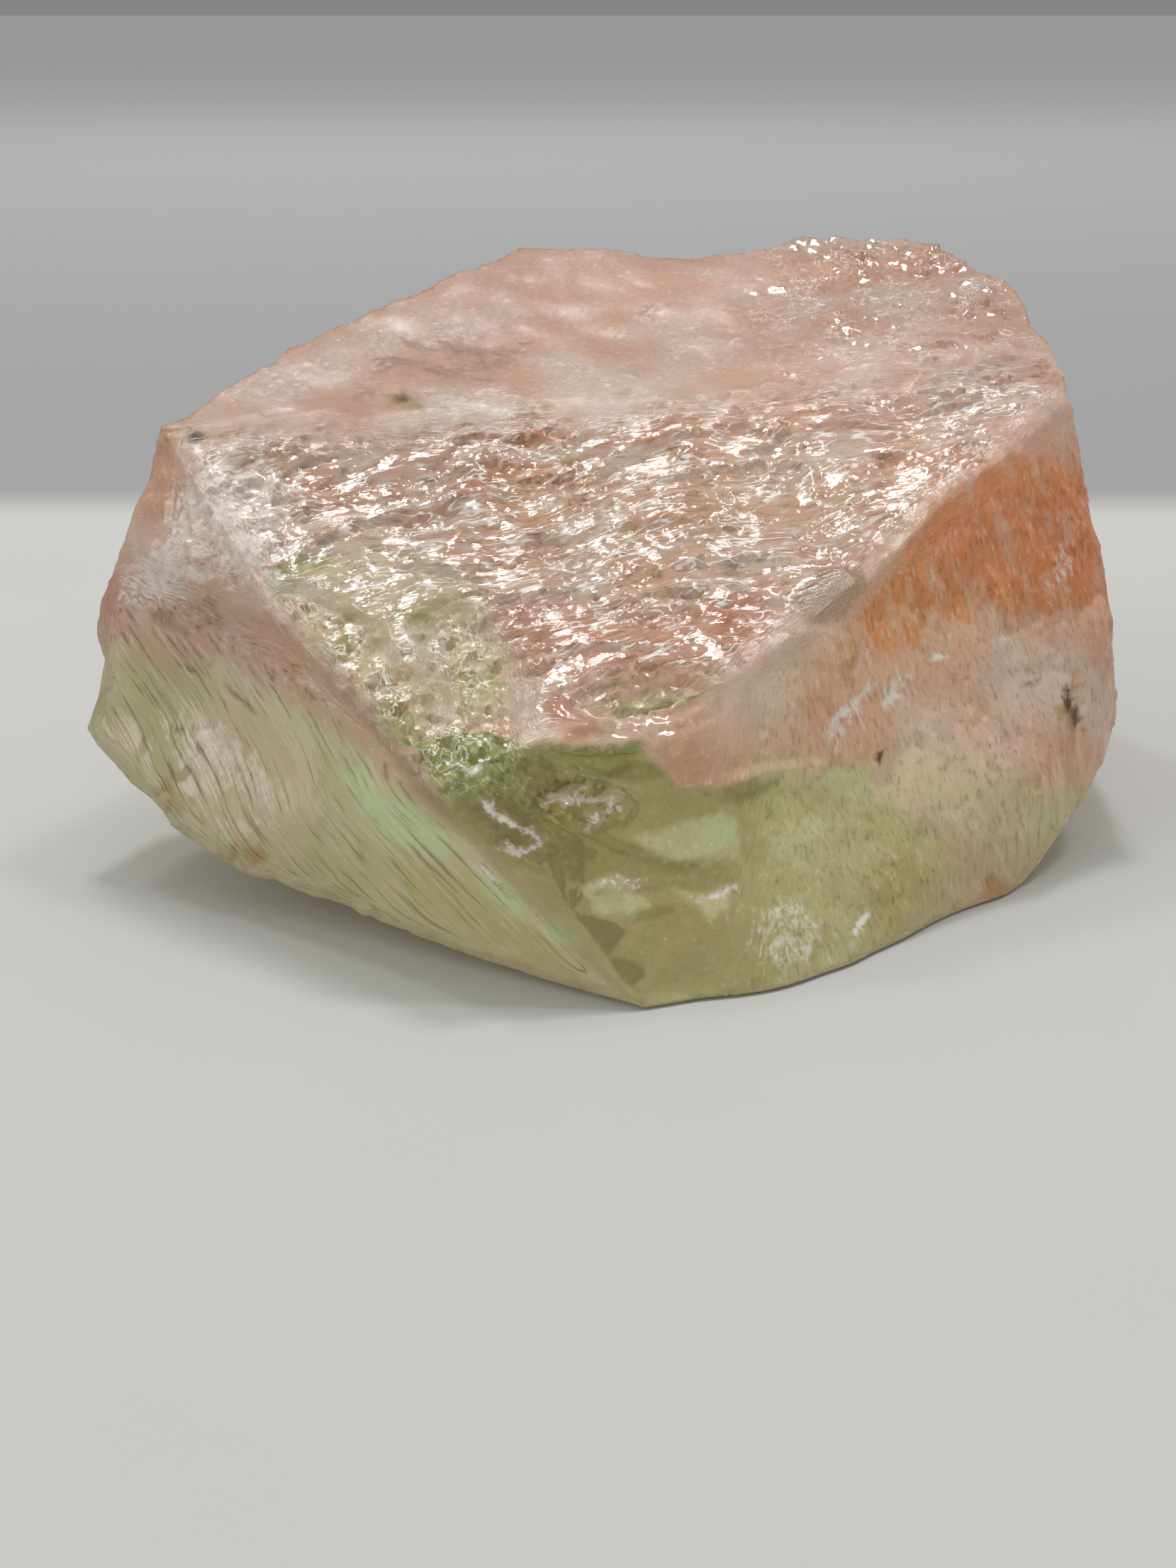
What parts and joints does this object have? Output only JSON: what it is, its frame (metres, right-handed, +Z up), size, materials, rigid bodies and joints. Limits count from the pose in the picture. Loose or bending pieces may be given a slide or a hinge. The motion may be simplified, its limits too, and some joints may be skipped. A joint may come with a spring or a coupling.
{
  "type": "rough beryl",
  "caption": "Broken chunk of two-coloured rough beryl, salmon pink above and pale green below, resting on one flat fracture face.",
  "frame": {"origin": "bottom centre of the stone's box, on the flat face that it rests on", "axes": "+Z up, +X along the longest extent, -Y towards the side with the sparkling slope and the green window"},
  "size_m": [0.0646, 0.058, 0.0344],
  "materials": {
    "beryl": "translucent glassy crystal with hackly, rippled fracture faces, pink above and green below"
  },
  "bodies": {
    "root": {"beryl": "beryl"}
  },
  "joints": []
}
